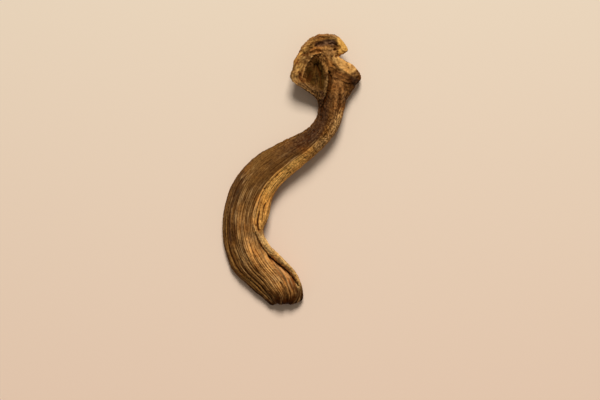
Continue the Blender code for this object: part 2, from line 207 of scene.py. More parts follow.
# What the solid leaves to this script, in mm: how far each kind rises or, below 0, cuts in, and its
# size across and along what it is laid on. A kind with a line shows only where its noise passes
# zero, and one with patches comes and goes. Paler is what it does to the tone, and darker is painted
# shade that it puts into its cut-in lines.
fineRelief = {
    "strands": {"rise": 0.08, "size": (1.15, 26.0), "on": "fibres", "seed": 11, "paler": 0.06},
    "fibres": {"rise": 0.14, "size": (0.36, 12.0), "on": "fibres", "seed": 12, "paler": 0.40},
    "hairs": {"rise": 0.08, "size": (0.26, 6.0), "on": "fibres", "seed": 13, "paler": 0.45},
    "cords": {
        "rise": 0.10,
        "size": (3.0, 16.0),
        "on": "fibres",
        "seed": 26,
        "paler": 0.08,
        "pitch": 0.60,
        "drift": 1.3,
        "swell": ((1.6, 7.0), 27, 0.55, 0.9),  # size, seed, steady share and uneven share
    },
    "threads": {
        "rise": 0.08,
        "size": (0.9, 15.0),
        "on": "fibres",
        "seed": 23,
        "line": 0.06,
        "patches": ((4.0, 8.0), 24, (-0.1, 0.2)),  # size, seed, and where they fade in
    },
    "splits": {
        "rise": -0.20,
        "size": (1.0, 18.0),
        "on": "fibres",
        "seed": 14,
        "line": 0.05,
        "patches": ((3.0, 9.0), 15, (0.05, 0.3)),
        "darker": 0.8,
    },
    "crinkles": {
        "rise": -0.22,
        "size": 1.4,
        "on": "flesh",
        "warp": 1.0,
        "seed": 18,
        "line": 0.12,
        "darker": 0.6,
    },
    "worms": {
        "rise": -0.22,
        "size": 1.15,
        "on": "flesh",
        "warp": 1.2,
        "seed": 29,
        "line": 0.11,
        "darker": 0.6,
    },
    "lumps": {"rise": 0.14, "size": 1.2, "on": "flesh", "warp": 0.5, "seed": 19},
    "grain": {"rise": 0.10, "size": 0.55, "on": "flesh", "seed": 20},
    "tubeLines": {"rise": 0.12, "size": (0.40, 5.0), "on": "tubes", "seed": 21, "paler": 0.4},
    "flapLines": {"rise": 0.10, "size": (0.45, 5.0), "on": "leftFlap", "seed": 28, "paler": 0.5},
    "browFolds": {"rise": 0.16, "size": (0.55, 4.0), "on": "rays", "warp": 0.4, "seed": 30, "paler": 0.4},
    "rimLines": {"rise": 0.12, "size": (3.6, 0.55), "on": "rays", "warp": 0.4, "seed": 32, "paler": 0.7},
    "lipRibs": {"rise": 0.07, "size": (4.0, 0.75), "on": "fibres", "seed": 22, "paler": 0.6},
}
pits = {
    "depth": 0.30,
    "spacing": 1.5,
    "edge": (0.102, 0.238),  # where a pit's side starts and ends, of the spacing
    "clusters": 3.0,
    "seed": 8,
    "kept": (-0.05, 0.1),
}

# How the places that the relief's noise reads are turned and warped.
layout = {
    "turn": (0.5, 0.4, 0.6),  # so that no wrinkle follows an axis
    "warp": {"by": 0.8, "size": 2.0, "seed": 16},
    "tubes": ((1.0, 0.25), (-0.25, 1.0)),  # what x, and then y, counts across and along the lines
    "leftFlap": ((0.66, 0.75), (0.75, -0.66)),
    "raysFrom": (6.5, 29.0),  # the middle of the tube recess
    "raysWidth": 6.5,
}

# Where one kind of flesh, or of painted shade on it, passes into the next, in rows from the foot's end at 0
# to the crown at 20.
passages = {
    "footEnd": (0.4, 2.1),
    "lip": ((0.8, 1.6), (4.4, 5.2)),
    "foot": (3.0, 7.0),
    "band": ((4.6, 5.4), (9.3, 12.3)),
    # painted shade: the fan's top and upper face are darkened where they turn from the light
    "fanTopShade": ((5.2, 8.2), (9.0, 10.5)),
    "upperFaceShade": (8.0, 10.0),
    "wrinkles": (8.4, 10.8),
    "neckFibres": (9.8, 11.6),
    "neck": ((9.6, 11.2), (13.5, 14.3)),
    "stemLines": (12.0, 14.0),
    "cap": (12.5, 14.0),
    "stem": (13.0, 14.5),
}


def smoothCurve(points, at):
    # Catmull-Rom through the rows, read between them
    points = np.asarray(points, float)
    last = len(points) - 1
    start = np.clip(np.floor(at).astype(int), 0, last - 1)
    f = (at - start).reshape(at.shape + (1,) * (points.ndim - 1))
    before, a, b, after = (points[np.clip(start + k, 0, last)] for k in (-1, 0, 1, 2))
    cubic = 3 * a - before - 3 * b + after
    return 0.5 * (2 * a + (b - before) * f + (2 * before - 5 * a + 4 * b - after) * f**2 + cubic * f**3)


def softStep(low, high, x):
    t = np.clip((x - low) / (high - low), 0, 1)
    return t * t * (3 - 2 * t)


def faceColumns(count):
    # places over one face from inner edge to outer: across from 1 to -1, height from 0 to 1 and back
    angle = np.linspace(0, np.pi, sliceForm["arcSteps"])
    power = 2 / sliceForm["edgePower"]
    across = np.sign(np.cos(angle)) * np.abs(np.cos(angle)) ** power
    height = np.abs(np.sin(angle)) ** power
    middle = (across[1:] + across[:-1]) / 2
    width = np.where(middle > 0, sliceForm["bandShare"], 1 - sliceForm["bandShare"])
    steps = np.hypot(np.diff(across) * width, np.diff(height) * sliceForm["sideShare"])
    length = np.concatenate([[0.0], np.cumsum(steps)])
    even = np.linspace(0, length[-1], count + 1)
    return np.interp(even, length, across), np.interp(even, length, height)


def nearStroke(places, path, halfWidth, taper=0.0):
    # 1 on the stroke, fading to 0 about two half widths away; taper narrows it towards its ends
    near = np.zeros(places.shape[:-1])
    path = smoothCurve(path, np.linspace(0, len(path) - 1, 3 * len(path) - 2))  # three steps a piece
    steps = np.linalg.norm(np.diff(path, axis=0), axis=1)
    for a, b, start, step in zip(path, path[1:], np.cumsum(steps) - steps, steps):
        t = np.clip(((places - a) @ (b - a)) / step**2, 0, 1)
        gap = np.linalg.norm(places - (a + t[..., None] * (b - a)), axis=-1)
        along = (start + t * step) / steps.sum()
        width = halfWidth * (1 - taper * (1 - np.sqrt(np.sin(np.pi * along) + 1e-6)))
        near = np.maximum(near, np.exp(-((gap / width) ** 2)))
    return near


def nearAny(places, strokes, taper):
    return np.max([nearStroke(places, path, halfWidth, taper) for path, halfWidth in strokes], axis=0)


def bumps(places, size, seed=0.0):
    # smooth noise from -1 to 1 over flat or solid places, with bumps of that size
    spots = places.reshape(-1, places.shape[-1]) / size + sliceForm["seed"] + seed
    if spots.shape[1] == 2:
        spots = np.column_stack([spots, np.full(len(spots), seed)])
    return np.array([noise.noise(spot) for spot in spots.tolist()]).reshape(places.shape[:-1])


def furrowDepth(row, across, shift=0.0):
    # also the fibre coordinate: across, fanned out at the foot
    foot = 1 - softStep(*furrows["bulb"], row)
    fibre = -1 + (across + 1) * (1 + furrows["footSpread"] * foot)
    depth = np.zeros(fibre.shape)
    wander, rowTurn, lineTurn = furrows["wander"]
    for number, (place, deep, halfWidth) in enumerate(furrows["lines"]):
        drift = wander * np.sin(rowTurn * row + lineTurn * number + shift)
        depth = np.maximum(depth, deep * np.exp(-(((fibre - place - drift) / halfWidth) ** 2)))
    stem = softStep(*furrows["start"], row) * (1 - softStep(*furrows["fade"], row))
    return depth * stem * softStep(*furrows["crestGap"], -across), fibre


def sliceSkin():
    # the solid's own skin, only finer: a grid of points in mm, and where each one is on the slice
    form = sliceForm
    last = len(form["outline"]) - 1
    row = np.interp(np.linspace(0, 1, form["rows"] + 1), *zip(*form["rowShares"]))
    topAcross, topHeight = faceColumns(form["topColumns"])
    lowAcross, lowHeight = faceColumns(form["underColumns"])
    across = np.concatenate([topAcross, lowAcross[-2::-1]])
    height = np.concatenate([topHeight, -lowHeight[-2::-1]])
    row, across = np.broadcast_arrays(row[:, None], across[None, :])
    height = np.broadcast_to(height, row.shape)

    torn = form["torn"] * (1 + bumps(np.stack([form["tornBumps"] * across, row * 0], -1), 1.0))
    place = row + torn * (np.clip(1 - row, 0, 1) - np.clip(row - last + 1, 0, 1))

    rails = smoothCurve(form["outline"], place)
    edge = form["stemEdge"] + (form["capEdge"] - form["stemEdge"]) * softStep(*form["capEdgeFrom"], row)
    outer, crest, inner = (rails[..., k, :] for k in range(3))
    outward = (outer - inner) / np.linalg.norm(outer - inner, axis=-1, keepdims=True)
    outer = outer + outward * (edge * bumps(outer, form["edgeBump"]))[..., None]
    inner = inner - outward * (edge * bumps(inner, form["edgeBump"], form["edgeSeed"]))[..., None]
    left, right = np.clip(-across, 0, 1), np.clip(across, 0, 1)
    xy = crest + left[..., None] * (outer - crest) + right[..., None] * (inner - crest)

    levels = np.moveaxis(smoothCurve(form["heights"], place), -1, 0)
    faceOuter, faceCrest, faceInner, swellOuter, swellInner, underOuter, underCrest, underInner = levels
    face = faceCrest + left * (faceOuter - faceCrest) + right * (faceInner - faceCrest)
    # 4 x (1 - x) is 1 halfway between crest and edge
    face = face + 4 * swellOuter * left * (1 - left) + 4 * swellInner * right * (1 - right)
    under = underCrest + left * (underOuter - underCrest) + right * (underInner - underCrest)

    groove, fibre = furrowDepth(row, across)
    face = face - groove
    underGroove = furrowDepth(row, across, furrows["underTurn"])[0]
    under = under + furrows["under"] * underGroove * softStep(*furrows["underFrom"], across)
    for rise, size in form["lumps"]:
        face = face + rise * bumps(xy, size, size)
        under = under + form["underLumps"] * rise * bumps(xy, size, size + form["underSeed"])
    for path, halfWidth, rise, through in folds.values():
        near = nearStroke(xy, path, halfWidth, form["foldTaper"])
        face = face + rise * near
        under = under + rise * through * near
    for path, halfWidth, rise, through in flaps.values():
        near = softStep(*form["flapSides"], nearStroke(xy, path, halfWidth))
        face = face + rise * near
        under = under + rise * through * near

    taper = np.clip(np.minimum(row, last - row) / form["endTaper"], 0, 1)
    plump = form["endThickness"] + (1 - form["endThickness"]) * np.sqrt(1 - (1 - taper) ** 2)
    middle, half = (face + under) / 2, (face - under) / 2
    z = middle + half * height * plump
    length = np.concatenate([[0.0], np.cumsum(np.linalg.norm(np.diff(crest[:, 0], axis=0), axis=-1))])
    # places on the fibres in mm: across them, and along them from the foot
    fibre = form["fibreWidth"] * fibre + form["sideFibres"] * (1 - height) * np.sign(across)
    fibre = fibre + np.where(height < 0, form["underFibres"], 0)
    return {
        "points": np.concatenate([xy, z[..., None]], axis=-1),
        "xy": xy,
        "row": row,
        "across": across,
        "height": height,
        "fibre": fibre,
        "lines": np.stack([fibre, np.broadcast_to(length[:, None], row.shape)], -1),
    }


def gridNormals(points):
    # the columns run round a closed loop, whose first and last points coincide
    alongRows = np.gradient(points, axis=0)
    ring = np.concatenate([points[:, -2:-1], points, points[:, 1:2]], axis=1)
    roundRing = ring[:, 2:] - ring[:, :-2]
    normals = np.cross(alongRows, roundRing)
    return normals / np.maximum(np.linalg.norm(normals, axis=-1, keepdims=True), 1e-9)


def blurred(values, reach, ringReach):
    # a mean over neighbouring points, along the rows and then round the ring
    rows = np.pad(values, ((reach, reach), (0, 0)), "edge")
    values = sum(rows[k : k + len(values)] for k in range(2 * reach + 1)) / (2 * reach + 1)
    ring = np.pad(values[:, :-1], ((0, 0), (ringReach, ringReach + 1)), "wrap")
    wide = values.shape[1]
    return sum(ring[:, k : k + wide] for k in range(2 * ringReach + 1)) / (2 * ringReach + 1)


# Where each tone of the flesh, or of painted shade or painted light on it, shows: strokes on the cut face
# and their half widths, in mm.
toneStrokes = {
    # partly painted light on the lower foot, over its paler, more golden fibres
    "footPaleAndPaintedLight": [
        ([(-10.0, -24.6), (-7.6, -28.2), (-3.6, -32.8), (-0.6, -36.0)], 2.5),
        ([(-13.0, -20.4), (-12.0, -23.4), (-9.6, -27.2)], 1.7),
    ],
    "rim": [
        ([(1.4, 26.8), (2.3, 30.0), (2.7, 32.8), (4.4, 35.8), (6.4, 38.2), (9.9, 39.8), (13.0, 39.4)], 2.1),
    ],
    "rimDark": [
        ([(2.0, 29.2), (3.3, 28.3)], 0.6),
        ([(2.2, 27.6), (3.6, 26.4)], 0.7),
        ([(1.8, 35.2), (2.6, 37.0)], 0.6),
        ([(1.0, 31.2), (2.0, 33.0)], 0.3),
    ],
    "crownEdge": [([(2.2, 36.0), (4.9, 38.9)], 0.7), ([(7.0, 39.6), (10.0, 40.6), (13.0, 40.1)], 0.9)],
    "tubes": [([(5.2, 30.2), (6.4, 26.4)], 1.6), ([(7.4, 32.6), (8.4, 28.6), (9.0, 25.0)], 1.7)],
    "leftFlap": [([(2.4, 25.6), (6.0, 23.8), (8.0, 22.0)], 1.2)],
    "bandLight": [([(-7.8, -8.6), (-6.4, -5.4), (-2.2, -0.8), (3.4, 3.0)], 1.5)],
    "bendLight": [([(7.6, 6.8), (10.6, 9.6), (12.3, 12.2), (13.5, 14.6), (14.4, 17.4)], 1.25)],
    # partly painted shade: the neck's side turned from the light, over its darker flesh
    "neckShadeAndDarkFlesh": [([(9.3, 22.6), (8.8, 17.8), (8.0, 14.2), (6.4, 11.2), (1.8, 8.2), (-4.6, 4.6)], 2.5)],
    "neckPale": [([(13.0, 27.4), (14.4, 22.5), (13.9, 17.4), (11.7, 12.6)], 1.8)],
    "underFlap": [([(13.4, 28.8), (15.8, 27.6), (18.4, 26.2)], 1.3)],
    "knob": [([(17.8, 27.3), (19.6, 26.1)], 1.5)],
    "brow": [
        ([(5.4, 35.2), (8.8, 35.9), (12.6, 35.2)], 1.25),
        ([(9.8, 35.6), (10.9, 33.2), (11.8, 31.2)], 1.0),
    ],
    "recessWall": [([(8.6, 34.0), (9.6, 31.6), (10.4, 29.6)], 0.75)],
    "throat": [([(10.5, 28.0), (10.1, 25.4), (9.6, 22.4)], 0.6)],
    "crown": [([(7.4, 37.4), (10.4, 38.3), (12.8, 37.9)], 0.9)],
    "ear": [([(14.2, 38.7), (15.9, 37.0), (14.9, 35.2)], 1.7)],
    "flap": [([(13.3, 33.1), (14.5, 31.9), (16.3, 30.8), (18.2, 29.8)], 1.7)],
    "bandRibbon": [([(-9.2, -7.8), (-10.5, -10.6), (-11.2, -13.6), (-11.3, -16.0), (-10.4, -18.4)], 0.48)],
    "crack": [([(-9.6, -12.6), (-10.2, -15.2), (-9.9, -17.2), (-9.2, -18.9)], 0.34)],
    "flapEnd": [([(18.0, 28.4), (19.4, 29.2)], 0.9)],
    "footShade": [([(-0.2, -32.4), (1.4, -34.2), (2.2, -36.2)], 0.9)],
    # painted shade along the fan's outer edge, where it turns from the light
    "fanEdgeShade": [([(-14.6, -1.0), (-17.0, -8.0), (-17.8, -14.0), (-17.6, -20.0)], 1.7)],
    "ruddyFoot": [([(-5.8, -26.0), (-3.2, -29.4), (-1.1, -32.6), (0.0, -35.0)], 1.1)],
    "specks": [
        ([(16.7, 30.6), (17.0, 30.5)], 0.20),
        ([(12.3, 35.9), (12.7, 35.8)], 0.30),
        ([(12.8, 33.9), (13.2, 33.6)], 0.30),
    ],
}

# Thin pale lines where the flesh folds over: the cut hem, the tube layer's edge and two ridges.
paleHems = [
    ([(-0.3, 26.6), (2.6, 25.0), (6.2, 22.8), (7.9, 21.2)], 0.24),
    ([(3.0, 27.6), (3.9, 30.6), (4.9, 32.4), (6.1, 34.2), (7.4, 34.9), (9.0, 35.1)], 0.22),
    ([(12.3, 34.0), (12.8, 32.1), (13.6, 30.8), (14.9, 29.6), (17.0, 28.8)], 0.30),
    ([(11.0, 33.8), (11.7, 31.8), (13.0, 30.2)], 0.30),
]


# How the edges of the tones run: fades from 0 to 1, in shares of the face's width or height.
toneEdges = {
    "top": (-0.3, 0.3),
    "stroke": (0.15, 0.75),
    "strokeTaper": 0.3,
    "hem": (0.25, 0.9),
    "hemTaper": 0.7,
    "hemGaps": 4.0,
    # painted shade along the fan's outer edge
    "outerStripShade": (-0.92, -0.35),
    "band": (-0.03, 0.05),
    "bandRagged": 0.04,
    "lip": (-0.05, 0.12),
    "outside": (0.93, 1.0),
    "outsideHeight": (0.75, 1.0),
    "ragged": {"by": 0.2, "size": 1.2, "seed": 31},
    "raggedRows": {"upperFaceShade": 2.0, "neckShadeAndDarkFlesh": 2.0, "footEnd": 3.0},
    "frayed": {"by": 1.1, "size": (0.9, 12.0), "seed": 33},
    "frayedRows": 1.4,
    "rimEven": 0.8,
}


def passed(name, row):
    return softStep(*passages[name], row)


def between(name, row):
    start, end = passages[name]
    return softStep(*start, row) * (1 - softStep(*end, row))


def toneMasks(skin):
    xy, row, across, height = (skin[name] for name in ("xy", "row", "across", "height"))
    edges = toneEdges
    top = softStep(*edges["top"], height)
    onStem = 1 - passed("stem", row)
    ragged = edges["ragged"]["by"] * bumps(xy, edges["ragged"]["size"], edges["ragged"]["seed"])
    raggedRows = {name: row + rows * ragged for name, rows in edges["raggedRows"].items()}
    # on the stem, a tone frays along the fibres instead
    frayed = bumps(skin["lines"], np.array(edges["frayed"]["size"]), edges["frayed"]["seed"]) * onStem
    fanStart, fanEnd = passages["fanTopShade"]
    fanTopShade = softStep(*fanStart, row + edges["frayedRows"] * frayed) * (1 - softStep(*fanEnd, row))
    # the fan's top, upper face and outer strip are painted shade, darker where they turn from the light
    masks = {
        "fanTopShade": fanTopShade * (across < 0),
        "upperFaceShade": passed("upperFaceShade", raggedRows["upperFaceShade"]),
        "outerStripShade": 1 - softStep(*edges["outerStripShade"], across + ragged),
    }
    for name, strokes in toneStrokes.items():
        near = nearAny(xy, strokes, edges["strokeTaper"]) * (1 + edges["frayed"]["by"] * frayed)
        near = near + ragged * (1 - onStem)
        masks[name] = softStep(*edges["stroke"], near) * top
    # the neck's dark side, partly painted shade, starts where the wrinkles do
    masks["neckShadeAndDarkFlesh"] *= passed("wrinkles", raggedRows["neckShadeAndDarkFlesh"])
    near = nearAny(xy, paleHems, edges["hemTaper"]) * (1 + edges["hemGaps"] * ragged)
    masks["hem"] = softStep(*edges["hem"], near) * top
    innerSide = softStep(*edges["band"], across + edges["bandRagged"] * ragged)
    masks["band"] = innerSide * between("band", row) * top
    masks["lip"] = softStep(*edges["lip"], across) * between("lip", row) * top
    masks["footEnd"] = 1 - passed("footEnd", raggedRows["footEnd"])
    lowered = 1 - softStep(*edges["outsideHeight"], height)
    masks["outside"] = softStep(*edges["outside"], -across) * lowered * onStem
    masks["underside"] = 1 - top
    # where the flesh is less mottled, and where it isn't let go grey
    masks["even"] = np.clip(onStem + edges["rimEven"] * masks["rim"], 0, 1)
    masks["warm"] = np.clip(masks["band"] + masks["lip"], 0, 1)
    return masks


# How much the masks count for the relief: smooth flesh, pitted flesh, and kinds held back by less.
reliefShares = {
    "smooth": {"ear": 0.75, "flap": 0.55, "rim": 0.55},
    "smoothest": 0.75,
    "holey": {"band": 1.0, "bandRibbon": -1.0, "brow": 1.0, "neckPale": 0.6, "rim": 0.15},
    "bandLess": 0.65,
    "fanTopLess": 0.6,
    "neckFibresLess": 0.75,
    "stemWrinkles": 0.12,
    "wrinklesLess": {"tubes": 0.7, "brow": 0.5, "leftFlap": 0.7, "neck": 0.5},
    "stemLumps": 0.3,
}

# Streaks: their middle level, and how the relief's own noise makes the flesh paler and darker.
streaks = {
    "level": 0.5,
    "evenLevel": 0.12,
    "fanTopLess": 0.7,
    "footMore": 0.4,
    "capFlecks": {"lumps": 0.3, "grain": 0.3},
    "smoothFlecks": 0.4,
    "neckFlecks": {"lumps": 0.5, "grain": 0.6},
}


def summed(maps, shares):
    return sum(share * maps[name] for name, share in shares.items())


def pitMap(places):
    # 1 inside small scattered holes; a coarse noise keeps about half of them
    spots = places.reshape(-1, 3) / pits["spacing"]
    gap = np.array([noise.voronoi(spot)[0][0] for spot in spots.tolist()]).reshape(places.shape[:-1])
    kept = softStep(*pits["kept"], bumps(places, pits["clusters"], pits["seed"]))
    return (1 - softStep(*pits["edge"], gap)) * kept


def reliefNoise(skin, turned):
    # each kind of relief from -1 to 1, or from 0 to 1 where it shows as lines
    xy, lines = skin["xy"], skin["lines"]
    warp = layout["warp"]
    warps = [bumps(turned, warp["size"], warp["seed"] + axis) for axis in range(3)]
    warps = warp["by"] * np.stack(warps, -1)
    arm = xy - np.array(layout["raysFrom"])
    turnedBy = np.arctan2(arm[..., 1], arm[..., 0])
    places = {
        "fibres": lines,
        "flesh": turned,
        "tubes": xy @ np.array(layout["tubes"]),
        "leftFlap": xy @ np.array(layout["leftFlap"]),
        "rays": np.stack([layout["raysWidth"] * turnedBy, np.linalg.norm(arm, axis=-1)], -1),
    }
    maps = {}
    for name, kind in fineRelief.items():
        spots = places[kind["on"]]
        spots = spots + kind.get("warp", 0) * warps[..., : spots.shape[-1]]
        maps[name] = bumps(spots, np.array(kind["size"]), kind["seed"])
        if "line" in kind:
            maps[name] = np.exp(-((maps[name] / kind["line"]) ** 2))
        if "patches" in kind:
            size, seed, fade = kind["patches"]
            maps[name] = maps[name] * softStep(*fade, bumps(lines, np.array(size), seed))
    maps["strands"] = 1 - 2 * np.abs(maps["strands"])
    cords = fineRelief["cords"]
    size, seed, steady, uneven = cords["swell"]
    turns = skin["fibre"] / cords["pitch"] + cords["drift"] * maps["cords"]
    maps["cords"] = np.cos(2 * np.pi * turns) * (steady + uneven * bumps(lines, np.array(size), seed))
    return maps


def reliefMaps(skin, masks):
    # the fine relief as heights in mm, and the streaks and grooves that the colours follow, the grooves as
    # painted shade
    row, shares = skin["row"], reliefShares
    turned = skin["points"] @ np.array(Euler(layout["turn"]).to_matrix())
    maps = reliefNoise(skin, turned)
    holes = pitMap(turned)

    stem = 1 - passed("stemLines", row)
    cap = passed("cap", row)
    neck = between("neck", row) * (1 - masks["underside"])
    still = 1 - np.clip(summed(masks, shares["smooth"]), 0, shares["smoothest"])
    calm = 1 - shares["bandLess"] * masks["band"]
    holey = np.clip(summed(masks, shares["holey"]), 0, 1)
    fibrous = stem * (1 - shares["neckFibresLess"] * passed("neckFibres", row))
    less = shares["wrinklesLess"]
    wrinkly = np.clip(passed("wrinkles", row), shares["stemWrinkles"], 1) * still
    browAlone = masks["brow"] * (1 - masks["tubes"])
    wrinkly = wrinkly * (1 - less["tubes"] * masks["tubes"] - less["brow"] * browAlone)
    wrinkly = wrinkly * (1 - less["leftFlap"] * masks["leftFlap"]) * (1 - less["neck"] * neck)
    lumpy = shares["stemLumps"] + (1 - shares["stemLumps"]) * np.maximum(cap, masks["neckShadeAndDarkFlesh"])

    stemKinds = ("strands", "fibres", "hairs", "cords")
    where = {
        **dict.fromkeys(stemKinds, fibrous * calm * (1 - shares["fanTopLess"] * masks["fanTopShade"])),
        "threads": stem,
        "splits": fibrous,
        "crinkles": wrinkly,
        "worms": neck,
        "lumps": lumpy * still,
        "grain": still,
        "tubeLines": masks["tubes"],
        "flapLines": masks["leftFlap"],
        "browFolds": masks["brow"],
        "rimLines": masks["rim"],
        "lipRibs": masks["lip"],
    }
    relief = sum(kind["rise"] * maps[name] * where[name] for name, kind in fineRelief.items())
    relief = relief - pits["depth"] * holes * holey

    # the streaks run through the band and the smooth fan too, more than their relief does
    darker = {name: kind["darker"] for name, kind in fineRelief.items() if "darker" in kind}
    paler = {name: kind["paler"] for name, kind in fineRelief.items() if "paler" in kind}
    # painted shade: the cut-in lines and pits, made darker in the material
    groove = sum(share * maps[name] * where[name] for name, share in darker.items()) + holes * holey
    fine = 1 + streaks["footMore"] * (1 - passed("foot", row))
    where.update(dict.fromkeys(stemKinds, fine * fibrous * (1 - streaks["fanTopLess"] * masks["fanTopShade"])))
    streak = streaks["level"] + streaks["evenLevel"] * masks["even"]
    streak = streak + sum(share * maps[name] * where[name] for name, share in paler.items())
    flecked = streaks["smoothFlecks"] + (1 - streaks["smoothFlecks"]) * still
    streak = streak + summed(maps, streaks["capFlecks"]) * cap * flecked
    streak = streak + summed(maps, streaks["neckFlecks"]) * masks["neckShadeAndDarkFlesh"]
    return relief, {
        "streak": np.clip(streak, 0, 1),
        "groove": np.clip(groove, 0, 1),
        "threads": maps["threads"] * stem * calm * (1 - masks["neckShadeAndDarkFlesh"]),
    }


# Hollows and ridges that the colours follow, as painted shade in the hollows and painted highlight on
# the ridges: reach in rows and in columns, the depth in mm that counts as full, and how much less they
# show on some parts.
cavities = {
    "hollowShading": {"rows": 4, "columns": 8, "full": 0.30, "browLess": 0.5, "footLess": 0.6},
    "fineHollowShading": {"rows": 1, "columns": 3, "full": 0.05, "capLess": 0.6},
}


def hollowMaps(skin, masks, points, normals):
    # how far each point sits in a hollow, above 0, or stands on a ridge, below 0: the material paints shade
    # into the one and highlight onto the other
    hollows = {}
    for name, cavity in cavities.items():
        reach = cavity["rows"], cavity["columns"]
        mean = np.stack([blurred(points[..., axis], *reach) for axis in range(3)], -1)
        hollows[name] = np.clip(((mean - points) * normals).sum(-1) / cavity["full"], -1, 1)
    foot = 1 - passed("foot", skin["row"])
    capOrFanTop = np.maximum(passed("cap", skin["row"]), masks["fanTopShade"])
    broad, fine = cavities["hollowShading"], cavities["fineHollowShading"]
    hollows["hollowShading"] *= 1 - broad["browLess"] * masks["brow"] - broad["footLess"] * foot
    hollows["fineHollowShading"] *= 1 - fine["capLess"] * capOrFanTop
    return hollows


def layOutSlice():
    # the dressed skin's points in mm, and what the material reads at each of them
    skin = sliceSkin()
    masks = toneMasks(skin)
    relief, looks = reliefMaps(skin, masks)
    normals = gridNormals(skin["points"])
    points = skin["points"] + normals * relief[..., None]
    maps = {**masks, **looks, **hollowMaps(skin, masks, points, normals)}
    points[..., 2] = np.maximum(points[..., 2], 0)
    low, high = skin["points"].min(axis=(0, 1)), skin["points"].max(axis=(0, 1))
    middle = (low + high) / 2
    points -= [middle[0], middle[1], 0]
    print("slice laid out, its middle in the photo's frame at", middle[:2].round(2))
    return points, maps, np.concatenate([skin["lines"], skin["row"][..., None] * 0], axis=-1)


def growSlice():
    points, maps, fibreLines = layOutSlice()
    rows, around = points.shape[:2]
    shape = bmesh.new()
    bmesh.ops.create_grid(shape, x_segments=around - 1, y_segments=rows - 1, size=1)
    mesh = bpy.data.meshes.new("dried_slice")
    shape.to_mesh(mesh)
    mesh.vertices.foreach_set("co", (points * mm).ravel())
    for name, values in maps.items():
        mesh.attributes.new(name, "FLOAT", "POINT").data.foreach_set("value", values.ravel())
    lines = mesh.attributes.new("fibreLines", "FLOAT_VECTOR", "POINT")
    lines.data.foreach_set("vector", fibreLines.ravel())

    # the grid's long sides meet in a seam, and its ends are closed
    shape.clear()
    shape.from_mesh(mesh)
    bmesh.ops.remove_doubles(shape, verts=shape.verts, dist=1e-6)
    closed = bmesh.ops.holes_fill(shape, edges=[edge for edge in shape.edges if edge.is_boundary])
    bmesh.ops.triangulate(shape, faces=closed["faces"])
    bmesh.ops.recalc_face_normals(shape, faces=shape.faces)
    shape.to_mesh(mesh)
    shape.free()
    mesh.shade_smooth()
    piece = bpy.data.objects.new("dried_slice", mesh)
    bpy.context.scene.collection.objects.link(piece)
    print("slice meshed:", len(mesh.polygons), "faces")
    return piece


def hexColour(code):
    srgb = [int(code[k : k + 2], 16) / 255 for k in (1, 3, 5)]
    return (*(c / 12.92 if c <= 0.04045 else ((c + 0.055) / 1.055) ** 2.4 for c in srgb), 1.0)


def addNode(tree, kind, settings=None, inputs=None):
    node = tree.nodes.new("ShaderNode" + kind)
    for name, value in (settings or {}).items():
        setattr(node, name, value)
    for name, value in (inputs or {}).items():
        if isinstance(value, bpy.types.NodeSocket):
            tree.links.new(value, node.inputs[name])
        else:
            node.inputs[name].default_value = value
    return node


# Tones of each part of the flesh, from its grooves to its ridges. The fan's top and outer edge and the
# foot's shade are painted shade, the neck's dark side is partly painted shade, and the pale foot is
# partly painted light. Later ones lie over earlier ones.
fleshTones = {
    "broadFace": ("#502C08", "#946A3A"),
    # the next four are painted shade on the fan's top and outer edge
    "fanTopShade": ("#3C210C", "#6E4A22"),
    "upperFaceShade": ("#2C1607", "#6A441E"),
    "outerStripShade": ("#412306", "#805A2C"),
    "fanEdgeShade": ("#2E1A05", "#604020"),
    # partly painted light, partly the foot's paler fibres
    "footPaleAndPaintedLight": ("#743602", "#C8904E"),
    "ruddyFoot": ("#5A2406", "#AE7038"),
    "footShade": ("#2E1407", "#74421C"),
    "neckPale": ("#381F0C", "#906234"),
    # partly painted shade on the neck's side away from the light, partly darker flesh
    "neckShadeAndDarkFlesh": ("#20110A", "#523620"),
    "rim": ("#6A3A14", "#B48444"),
    "rimDark": ("#45240F", "#7E4E22"),
    "crownEdge": ("#5E3A1A", "#9C7040"),
    "leftFlap": ("#221103", "#805A32"),
    "recessWall": ("#6E461E", "#AE7C42"),
    "tubes": ("#180C03", "#4C310F"),
    "underFlap": ("#341C0E", "#744A22"),
    "knob": ("#140A06", "#3C2412"),
    "throat": ("#3E2610", "#7E5C34"),
    "brow": ("#805020", "#A67640"),
    "crown": ("#4C3524", "#7E5A3C"),
    "flap": ("#AE7432", "#E6AE64"),
    "flapEnd": ("#55341A", "#8E6434"),
    "ear": ("#A06A2A", "#DCA450"),
    "band": ("#804A14", "#C08C48"),
    "bandLight": ("#B8782C", "#F0B862"),
    "bendLight": ("#7A522A", "#BE9056"),
    "bandRibbon": ("#8A5C2A", "#CC9A5C"),
    "crack": ("#4E240A", "#8A5222"),
    "lip": ("#7C5220", "#DEAE6A"),
    "specks": ("#3A1C0C", "#6E3E1A"),
    "hem": ("#744C22", "#AE8048"),
    "underside": ("#4A2C0C", "#A06E2C"),
    "outside": ("#261505", "#684318"),
    "footEnd": ("#1A0802", "#422006"),
}


# Patterns in the flesh: size in mm, or width and length along the fibres, then detail and
# roughness. The real threads are a tenth as wide, too fine to show from here, so they are drawn as
# coarse as they need to show.
fleshPatterns = {
    "threads": ((0.34, 10.0), 2.0, 0.5),
    "hairs": ((0.20, 2.2), 1.0, 0.5),
    "mottle": (2.4, 4.0, 0.62),
    "specks": (0.5, 2.0, 0.5),
    "drift": (5.0, 2.0, 0.5),
}

